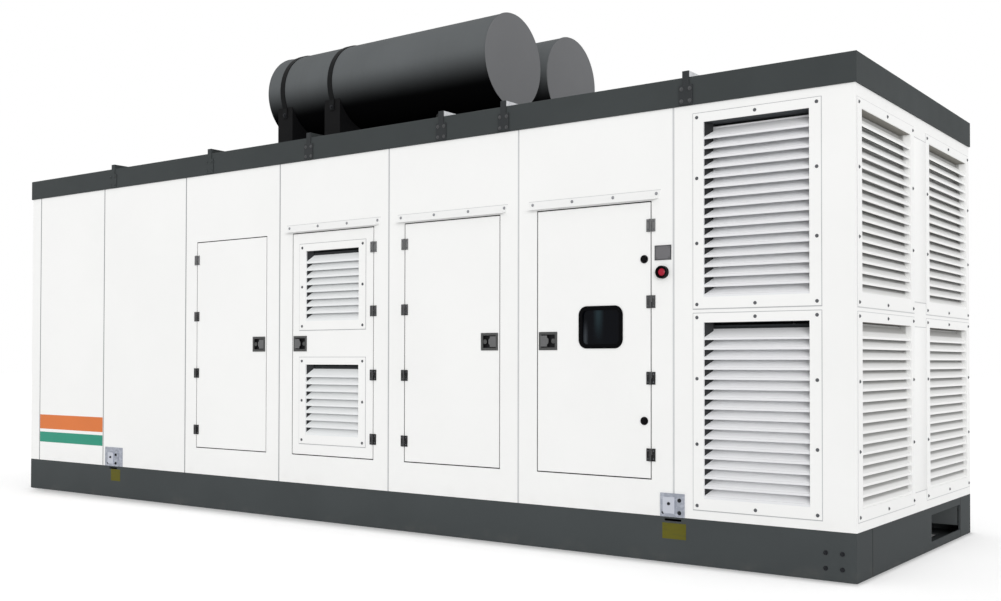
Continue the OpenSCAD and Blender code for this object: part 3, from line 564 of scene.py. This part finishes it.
# The strips are dark rubber set near the face, and also painted shade for the door gaps.
gap_shade_rubber = sprayed("seal_rubber_gap_shade", (0.016, 0.016, 0.017), 0.7, drift=0.1, Specular_IOR_Level=0.15)
place_piece("doorway_rubber_gap_shade_strips", strips, gap_shade_rubber)


# Hinges: pressed steel leaves with a knuckle and pin, zinc-plated and blackened, four to a door,
# each leaf held by two countersunk screws. They are painted lighter towards the top as painted
# light, and the pins carry a painted highlight.
# Painted light: the hinges grow lighter towards the top, and the pins carry a painted highlight.
def upper_hinges_painted_light(place, x, y, z):
    return z.fade(1.3, 2.35), (0.19, 0.191, 0.193, 1), 0.55


def pin_painted_highlight(place, x, y, z):
    return (abs(y) > wall_y + 0.0105) * 0.6, (0.07, 0.071, 0.073, 1), 0.4


hinge_steel = sprayed("hinge_blackened_steel", (0.02, 0.02, 0.021), 0.5, [upper_hinges_painted_light, pin_painted_highlight], 0.15,
                      Metallic=0.2, Specular_IOR_Level=0.15)
dress(hinge_steel, "door_1_hinges", "door_2_hinges", "door_3_hinges", "door_4_hinges",
      "front_wall_hinges", "rear_door_hinges")

leaf_middle, hinge_out, hinge_step = 1.4175, 0.444, 0.494
hinge_heights = [leaf_middle + step * hinge_step for step in (-1.5, -0.5, 0.5, 1.5)]
hinge_front, plate_middle, screw_step = wall_y + 0.005, 0.0205, 0.026
hinge_screw = 0.0035, 0.002, 8
wall_hinge_screws = bmesh.new()
for door, middle in door_middles.items():
    leaf_hinge_screws = bmesh.new()
    axis, towards = middle + hinge_sides[door] * hinge_out, hinge_sides[door]
    for height in hinge_heights:
        for z in (height - screw_step, height + screw_step):
            on_leaf, on_wall = (axis + way * towards * plate_middle for way in (-1, 1))
            add_screw(leaf_hinge_screws, (on_leaf, -hinge_front, z), (0, -1, 0), *hinge_screw)
            add_screw(wall_hinge_screws, (on_wall, -hinge_front, z), (0, -1, 0), *hinge_screw)
            for x in (on_leaf, on_wall):
                add_screw(wall_hinge_screws, (x, hinge_front, z), (0, 1, 0), *hinge_screw)
    place_piece(door + "_hinge_screws", leaf_hinge_screws, screw_steel, door)
place_piece("wall_hinge_screws", wall_hinge_screws, screw_steel)


# Latches: a pressed steel face plate with a dish let into the leaf, a lift paddle over one half of
# the dish and a lock barrel in the other, with a screw in each corner.
def paddle_face(place, x, y, z):
    return abs(y) > wall_y + 0.0045, (0.13, 0.131, 0.133, 1), 0.4


def dish_shade(place, x, y, z):
    return abs(y) < wall_y - hair, (0.008, 0.008, 0.009, 1), 0.6


latch_steel = sprayed("latch_dark_steel", (0.07, 0.071, 0.07), 0.45, [paddle_face, dish_shade], 0.1,
                      Metallic=0.2, Specular_IOR_Level=0.25)
dress(latch_steel, "door_1_latch", "door_2_latch", "door_3_latch", "door_4_latch", "rear_door_latches")

latch_in, latch_front, barrel_u = 0.355, wall_y + 0.004, 0.0415
latch_corner_u, latch_corner_z, latch_screw = 0.067, 0.055, (0.0032, 0.0022, 8)
key_half_wide, key_half_high, key_proud = 0.0012, 0.007, 0.0006
rear_latch_screws = bmesh.new()
for door, middle in door_middles.items():
    latch_screws = bmesh.new()
    u0, free = middle - hinge_sides[door] * latch_in, -hinge_sides[door]
    keyway = u0 - free * barrel_u
    for shape, side in ((latch_screws, -1), (rear_latch_screws, 1)):
        for du in (-latch_corner_u, latch_corner_u):
            for dz in (-latch_corner_z, latch_corner_z):
                corner = (u0 + du, side * latch_front, leaf_middle + dz)
                add_screw(shape, corner, (0, side, 0), *latch_screw)
        low, high = span(side, wall_y, wall_y + key_proud)
        add_block(shape, (keyway - key_half_wide, low, leaf_middle - key_half_high),
                  (keyway + key_half_wide, high, leaf_middle + key_half_high))
    place_piece(door + "_latch_screws", latch_screws, screw_steel, door)
place_piece("rear_latch_screws", rear_latch_screws, screw_steel)


# Window: one pane of dark blue tinted glass with painted reflections, a wide pale streak across its
# middle and a paler one low near its left edge, held in the fourth leaf by a black rubber bead.
glass_look = {"Transmission_Weight": 0.12, "IOR": 1.5, "Specular_IOR_Level": 0.03}
glass, glass_skin, glass_place, (glass_x, _, glass_z) = start_finish("window_tinted_glass", **glass_look)
pane_low, pane_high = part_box("door_4_window_glass")
pane_u = (glass_x - pane_low.x) * (1 / (pane_high.x - pane_low.x))
# Painted reflections: a wide pale streak and a paler one near the left edge.
wide_painted_reflection = abs(pane_u - 0.43).fade(0.16, 0.0) * glass_z.fade(pane_low.z, pane_high.z)
side_painted_reflection = abs(pane_u - 0.1).fade(0.09, 0.0) * glass_z.fade(pane_high.z - 0.06, pane_low.z + 0.05)
blue = wide_painted_reflection.mix((0.0006, 0.0012, 0.003, 1), (0.018, 0.033, 0.04, 1))
side_painted_reflection.mix(blue, (0.045, 0.052, 0.06, 1)).into(glass_skin, "Base Color")
(0.03 + glass_place.noise(14.0, 4.0).fade(0.5, 0.8) * 0.05).into(glass_skin, "Roughness")
dress(glass, "door_4_window_glass")
bead_rubber = sprayed("window_bead_rubber", (0.002, 0.002, 0.0025), 0.7, drift=0.1, Specular_IOR_Level=0.04)
dress(bead_rubber, "door_4_window_seal")


# Lock knobs and emergency stop: black moulded knobs and collar, a glossy red push head inside the
# collar, and a grey plate over it held by four small screws.
black_plastic = sprayed("moulded_black_plastic", (0.003, 0.003, 0.0035), 0.5, drift=0.1,
                        Specular_IOR_Level=0.06)
dress(black_plastic, "door_4_lock_knobs", "emergency_stop_collar")
stop_front, push_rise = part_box("emergency_stop")[0].y, 0.008


def push_ring(place, x, y, z):
    return y > stop_front + push_rise, (0.04, 0.002, 0.003, 1), 0.5


push_red = sprayed("push_head_red_plastic", (0.34, 0.008, 0.028), 0.3, [push_ring], 0.06, 0.0001,
                   Specular_IOR_Level=0.25)
dress(push_red, "emergency_stop")

stop_plate_low, stop_plate_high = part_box("emergency_stop_plate")
plate_middle_x, plate_middle_z = ((stop_plate_low[i] + stop_plate_high[i]) / 2 for i in (0, 2))
plate_half_x, plate_half_z = ((stop_plate_high[i] - stop_plate_low[i]) / 2 for i in (0, 2))
border_wide, plate_screw_in, plate_screw = 0.007, 0.014, (0.0045, 0.0035)


def plate_border(place, x, y, z):
    out_x = abs(x - plate_middle_x) > plate_half_x - border_wide
    out_z = abs(z - plate_middle_z) > plate_half_z - border_wide
    return out_x | out_z, (0.07, 0.07, 0.075, 1), 0.5


plate_paint = sprayed("stop_plate_grey_paint", (0.15, 0.148, 0.155), 0.5, [plate_border], 0.06,
                      Specular_IOR_Level=0.2)
dress(plate_paint, "emergency_stop_plate")
plate_screws = bmesh.new()
for dx in (-1, 1):
    for dz in (-1, 1):
        corner = (plate_middle_x + dx * (plate_half_x - plate_screw_in), stop_plate_low.y,
                  plate_middle_z + dz * (plate_half_z - plate_screw_in))
        add_screw(plate_screws, corner, (0, -1, 0), *plate_screw)
place_piece("stop_plate_screws", plate_screws, hinge_steel)


# Rain gutters: folded white sheet over three doors on each long side, held by four screws each and
# sealed along the top. Their face is painted a little greyer than the walls, as painted shade.
# Painted shade: the gutter face is a little greyer than the walls.
gutter_coat_painted_shade = sprayed("gutter_white_painted_shade", (0.84, 0.842, 0.836), 0.4, drift=0.01, Specular_IOR_Level=0.3)
dress(gutter_coat_painted_shade, "front_rain_gutters", "rear_rain_gutters")
gutter_half, gutter_face, gutter_bead_proud = 0.516, wall_y + 0.003, 0.002
gutter_screw_row, gutter_screw_places = 2.361, (-0.484, -0.16, 0.16, 0.484)
gutter_beads, gutter_screws = bmesh.new(), bmesh.new()
for door in ("door_2", "door_3", "door_4"):
    middle = door_middles[door]
    for side in (-1, 1):
        low, high = span(side, wall_y, wall_y + gutter_bead_proud)
        add_block(gutter_beads, (middle - gutter_half, low, gutter_top),
                  (middle + gutter_half, high, gutter_top + bead_wide))
        for u in gutter_screw_places:
            spot = (middle + u, side * gutter_face, gutter_screw_row)
            add_screw(gutter_screws, spot, (0, side, 0), screw_radius, screw_rise)
place_piece("gutter_sealant", gutter_beads, sealant_and_shade_grey)
gutter_steel = sprayed("gutter_screw_zinc", (0.28, 0.285, 0.3), 0.5, drift=0.12, Metallic=0.2,
                       Specular_IOR_Level=0.3)
place_piece("gutter_screws", gutter_screws, gutter_steel)


# Earth plates: galvanised steel plates bolted on the wall over the base, with a raised pad for the
# earth cable's lug and dark bolts down the right-hand side. The left one has a wider plate behind it.
def zinc_sheet(name, dull, bright, marks=()):
    finish, skin, place, axes = start_finish(name, Metallic=0.5, Specular_IOR_Level=0.3)
    cells = place.node("TexVoronoi", inputs={"Vector": place, "Scale": 55.0}, output="Color")
    spangle = cells.node("SeparateColor", inputs={0: cells})
    shade = spangle.fade(0.1, 0.9).mix(dull, bright)
    sheen = 0.4 + (place.noise(30.0, 3.0) - 0.5) * 0.2
    lay_marks(skin, place, axes, shade, sheen, marks)
    return finish


def pad_face(place, x, y, z):
    return abs(y) > wall_y + 0.0085, (0.52, 0.54, 0.6, 1), 0.4


earth_zinc = zinc_sheet("earth_plate_zinc", (0.3, 0.32, 0.37, 1), (0.4, 0.42, 0.48, 1), [pad_face])
dress(earth_zinc, "earth_plates")
backing_left, backing_right, backing_top, backing_thick = -2.962, -2.695, 0.466, 0.004
backing = bmesh.new()
add_block(backing, (backing_left, -wall_y - backing_thick, wall_foot),
          (backing_right, -wall_y, backing_top), plate_ease)
place_piece("left_earth_backing_plate", backing, earth_zinc)
earth_face, pad_front, earth_rise, pad_rise = wall_y + 0.008, wall_y + 0.014, 0.011, 0.012
earth_middles = -2.8404, 3.0168
plate_bolts = (0.051, 0.398, 0.009), (0.051, 0.319, 0.009), (-0.066, 0.316, 0.006)
pad_u, pad_z, pad_radius = -0.022, 0.374, 0.007
earth_bolts = bmesh.new()
for middle in earth_middles:
    for u, z, radius in plate_bolts:
        add_screw(earth_bolts, (middle + u, -earth_face, z), (0, -1, 0), radius, earth_rise, 6)
    add_screw(earth_bolts, (middle + pad_u, -pad_front, pad_z), (0, -1, 0), pad_radius, pad_rise, 6)
place_piece("earth_plate_bolts", earth_bolts, bolt_black)


# Roof: box-section edge beams in the grey of the base, an insulated deck between them, and ribs
# across it that end in bolted brackets on the edge beams. The left-hand ribs, brackets and bolts
# are coloured roof grey.
deck_top, roof_grey = 3.075, (0.051, 0.057, 0.058)


def roof_dust(place, x, y, z):
    on_deck = z > deck_top - hair
    return on_deck * place.noise(3.0, 6.0).fade(0.45, 0.8) * 0.2, (0.15, 0.146, 0.138, 1), 0.85


roof_paint = sprayed("roof_grey_paint", roof_grey, 0.62, [roof_dust], Specular_IOR_Level=0.05)
dress(roof_paint, "roof_side_beams", "roof_end_beams", "roof_deck")


def first_two(place, x, y, z):
    return x < -1.0, (*roof_grey, 1), 0.62


# The ribs left of x = 0.4 take the roof grey.
def left_ribs_roof_grey(place, x, y, z):
    return x < 0.4, (*roof_grey, 1), 0.62


bracket_paint = sprayed("rib_bracket_dark_paint", (0.04, 0.043, 0.045), 0.6, [first_two], 0.1,
                        Specular_IOR_Level=0.05)
dress(bracket_paint, "rib_brackets")
dress(zinc_sheet("rib_zinc", (0.6, 0.61, 0.63, 1), (0.7, 0.71, 0.73, 1), [left_ribs_roof_grey]), "roof_ribs")

bolt_zinc = sprayed("bracket_bolt_zinc", (0.085, 0.087, 0.09), 0.5, [first_two], 0.1, Metallic=0.2,
                    Specular_IOR_Level=0.2)
bracket_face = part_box("rib_brackets")[1].y
bracket_half, bracket_rows, bracket_bolt = 0.029, (2.929, 3.006), (0.009, 0.009, 6)
bay_wide = 1.2
rib_places = [bay * bay_wide for bay in (-2.375, -1.226, -0.2125, 0.935, 1.408, 2.599)]
rib_bolts = bmesh.new()
for rib in rib_places:
    for x in (rib - bracket_half, rib + bracket_half):
        for z in bracket_rows:
            for side in (-1, 1):
                add_screw(rib_bolts, (x, side * bracket_face, z), (0, side, 0), *bracket_bolt)
place_piece("rib_bracket_bolts", rib_bolts, bolt_zinc)


# Silencers: two rolled and seam-welded steel drums with flat end plates, in matt heat-proof grey,
# with painted shade that turns the lower part of each drum near black. They lie in black saddles
# on the deck under steel straps.
drum_y, drum_z, drum_radius, drum_left, drum_right = 0.425, 3.66, 0.375, -1.24, 1.18
pipe_bore, drum_shade_from, drum_shade_to = 0.1035, drum_z + 0.07, drum_z - 0.235


def rolled_bands(place, x, y, z):
    return place.noise(2.0, 4.0, (9, 0.3, 0.3)).fade(0.5, 0.8) * 0.2, (0.1, 0.103, 0.104, 1), 0.75


# Painted shade: each drum fades to near black below its axis.
def drum_underside_painted_shade(place, x, y, z):
    ragged = (place.noise(3.0, 5.0, (0.4, 1, 1)) - 0.5) * 0.03
    return (z + ragged).fade(drum_shade_from, drum_shade_to), (0.001, 0.001, 0.0012, 1), 0.9


def soot(place, x, y, z):
    off_y, off_z = abs(y) - drum_y, z - drum_z
    reach = off_y * off_y + off_z * off_z
    return (reach < pipe_bore ** 2) * (x < drum_left), (0.006, 0.006, 0.006, 1), 0.95


drum_paint = sprayed("silencer_paint_underside_shade", (0.116, 0.124, 0.128), 0.7, [rolled_bands, drum_underside_painted_shade], 0.04,
                     Specular_IOR_Level=0.03)
dress(drum_paint, "front_silencer", "rear_silencer")
cap_paint = sprayed("silencer_cap_paint", (0.171, 0.174, 0.18), 0.7, drift=0.03, Specular_IOR_Level=0.08)
dress(cap_paint, "silencer_end_caps")
pipe_paint = sprayed("exhaust_pipe_paint", (0.05, 0.052, 0.052), 0.65, [soot], 0.08, Specular_IOR_Level=0.12)
dress(pipe_paint, "exhaust_inlets", "exhaust_outlets")
saddle_black = sprayed("saddle_black_paint", (0.005, 0.005, 0.0055), 0.65, drift=0.1, Specular_IOR_Level=0.1)
dress(saddle_black, "silencer_saddles")
strap_paint = sprayed("strap_dark_paint", (0.008, 0.0085, 0.009), 0.6, drift=0.1, Specular_IOR_Level=0.08)
dress(strap_paint, "silencer_straps")

weld_in, weld_radius = 0.008, 0.0035
upright = Matrix.Rotation(math.radians(90), 4, "X")
beads = bmesh.new()
for side in (-drum_y, drum_y):
    for x in (drum_left + weld_in, drum_right - weld_in):
        around = Matrix.Translation((x, side, drum_z + drum_radius)) @ upright
        ring = bmesh.ops.create_circle(beads, segments=8, radius=weld_radius, matrix=around)["verts"]
        loop = list({edge for corner in ring for edge in corner.link_edges})
        bmesh.ops.spin(beads, geom=ring + loop, cent=(x, side, drum_z), axis=(1, 0, 0), dvec=(0, 0, 0),
                       angle=math.tau, steps=72, use_merge=True)
bmesh.ops.remove_doubles(beads, verts=beads.verts, dist=0.00005)
bmesh.ops.recalc_face_normals(beads, faces=beads.faces)
place_piece("silencer_weld_beads", beads, drum_paint)

saddle_places, strap_half, strap_height, strap_bolt = (-1.055, -0.48), 0.353, 3.447, (0.012, 0.014, 6)
foot_u, foot_half, foot_top, foot_bolt = 0.11, 0.365, deck_top + 0.012, (0.01, 0.014, 6)
inlet_x, inlet_ring, inlet_top = 0.55, 0.153, deck_top + 0.016
outlet_x, outlet_ring, flange_bolts, flange_bolt = drum_left - 0.104, 0.133, 8, (0.009, 0.012, 6)
fixings = bmesh.new()
for drum in (-drum_y, drum_y):
    for saddle in saddle_places:
        for side in (-1, 1):
            add_screw(fixings, (saddle, drum + side * strap_half, strap_height), (0, side, 0), *strap_bolt)
            for x in (saddle - foot_u, saddle + foot_u):
                add_screw(fixings, (x, drum + side * foot_half, foot_top), (0, 0, 1), *foot_bolt)
    for step in range(flange_bolts):
        angle = math.tau * (step + 0.5) / flange_bolts
        u, v = math.cos(angle), math.sin(angle)
        on_deck = (inlet_x + inlet_ring * u, drum + inlet_ring * v, inlet_top)
        on_pipe = (outlet_x, drum + outlet_ring * u, drum_z + outlet_ring * v)
        add_screw(fixings, on_deck, (0, 0, 1), *flange_bolt)
        add_screw(fixings, on_pipe, (1, 0, 0), *flange_bolt)
place_piece("silencer_bolts", fixings, bolt_black)


# Floor: a plain pale studio floor, wide enough to run out of the picture. It shows white to the
# camera, except in a strip along the foot of the base, wider in front and widening to the left,
# where the glow is left out: a painted shadow over the floor's own shading.
def see_through_rays(start):
    kinds = ("Is Camera Ray", "Is Glossy Ray", "Is Transmission Ray")
    camera_ray, glossy_ray, glass_ray = (start.node("LightPath", output=kind) for kind in kinds)
    return camera_ray | glossy_ray | glass_ray


studio = bmesh.new()
bmesh.ops.create_grid(studio, x_segments=1, y_segments=1, size=90.0)
ground_mesh = bpy.data.meshes.new("studio_floor")
studio.to_mesh(ground_mesh)
studio.free()
ground = bpy.data.objects.new("studio_floor", ground_mesh)
bpy.context.scene.collection.objects.link(ground)
ground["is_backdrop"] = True
pale, pale_skin, pale_place, (floor_x, floor_y, _) = start_finish("studio_floor_pale")
pale.node_tree.nodes.remove(pale_skin)
plain = pale_place.node("BsdfDiffuse", inputs={"Color": (0.85, 0.85, 0.85, 1)})
# Painted shadow: the strip along the base where the floor's glow is left out.
shadow_least, shadow_right, shadow_left, shadow_rear = 0.005, 0.05, 0.03, 0.03
shadow_front, shadow_spread, shadow_taper = 0.13, 0.032, 0.5
clear_of_ends = floor_x.fade(wall_x, wall_x + shadow_right) | floor_x.fade(shadow_left - wall_x, -wall_x)
from_left = floor_x.fade(-wall_x, shadow_taper - wall_x)
shadow_reach = shadow_least + (shadow_front + (wall_x - floor_x) * shadow_spread) * from_left
clear_of_front = (-wall_y - floor_y).fade(0.0, shadow_reach)
clear_of_rear = floor_y.fade(wall_y - shadow_rear, wall_y + shadow_least)
clear_of_base = clear_of_ends | clear_of_front | clear_of_rear
glow = (clear_of_base * see_through_rays(pale_place)).mix((0, 0, 0, 1), (1, 1, 1, 1))
bright = pale_place.node("Emission", inputs={"Color": glow, "Strength": 0.34})
lit_floor = pale_place.node("AddShader", inputs={0: plain, 1: bright})
lit_floor.into(pale.node_tree.nodes["Material Output"], "Surface")
ground_mesh.materials.append(pale)


# Light: one wide soft key stands low at the front right, under an even pale sky. At their level a
# colour renders about as it is written.
def heading(turn, lift):
    """The way out from the part, turned to the right of its front and lifted, in degrees."""
    turn, lift = math.radians(turn), math.radians(lift)
    return Vector((math.sin(turn) * math.cos(lift), -math.cos(turn) * math.cos(lift), math.sin(lift)))


lamp = bpy.data.lights.new("soft_key", "SUN")
key_level, key_spread, key_turn, key_lift = 0.62, 35, 43, 4
lamp.energy, lamp.angle = key_level * math.pi, math.radians(key_spread)
lamp_holder = bpy.data.objects.new("soft_key", lamp)
lamp_holder.rotation_mode = "QUATERNION"
lamp_holder.rotation_quaternion = heading(key_turn, key_lift).to_track_quat("Z", "Y")
bpy.context.scene.collection.objects.link(lamp_holder)

sky = bpy.data.worlds.new("studio_sky")
sky.use_nodes = True
bpy.context.scene.world = sky
sky_start = Strand(sky.node_tree)
sky_level = 0.78
sky_strength = sky_level + see_through_rays(sky_start) * (1 - sky_level)
sky_strength.into(sky.node_tree.nodes["Background"], "Strength")
sky.node_tree.nodes["Background"].inputs["Color"].default_value = (1, 1, 1, 1)
bpy.context.scene.view_settings.view_transform = "Standard"


# Camera: set at chest height to the right of the doors, looking very slightly up, with the picture
# shifted up so that the walls stay upright.
focal_px, picture_px, sensor = 1147.53, 1001, 36.0
view_turn, view_lift, view_roll = 36.205, -0.977, 0.1
lens = bpy.data.cameras.new("viewer")
lens.sensor_width, lens.lens, lens.shift_y = sensor, sensor * focal_px / picture_px, 0.0411
lens.clip_start, lens.clip_end = 0.1, 400.0
viewer = bpy.data.objects.new("viewer", lens)
away, roll = heading(view_turn, view_lift), math.radians(view_roll)
viewer.location = (6.4528, -7.8009, 1.2784)
viewer.rotation_mode = "QUATERNION"
viewer.rotation_quaternion = (-away).to_track_quat("-Z", "Y") @ Quaternion((0, 0, 1), roll)
bpy.context.scene.collection.objects.link(viewer)
bpy.context.scene.camera = viewer

low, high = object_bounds()
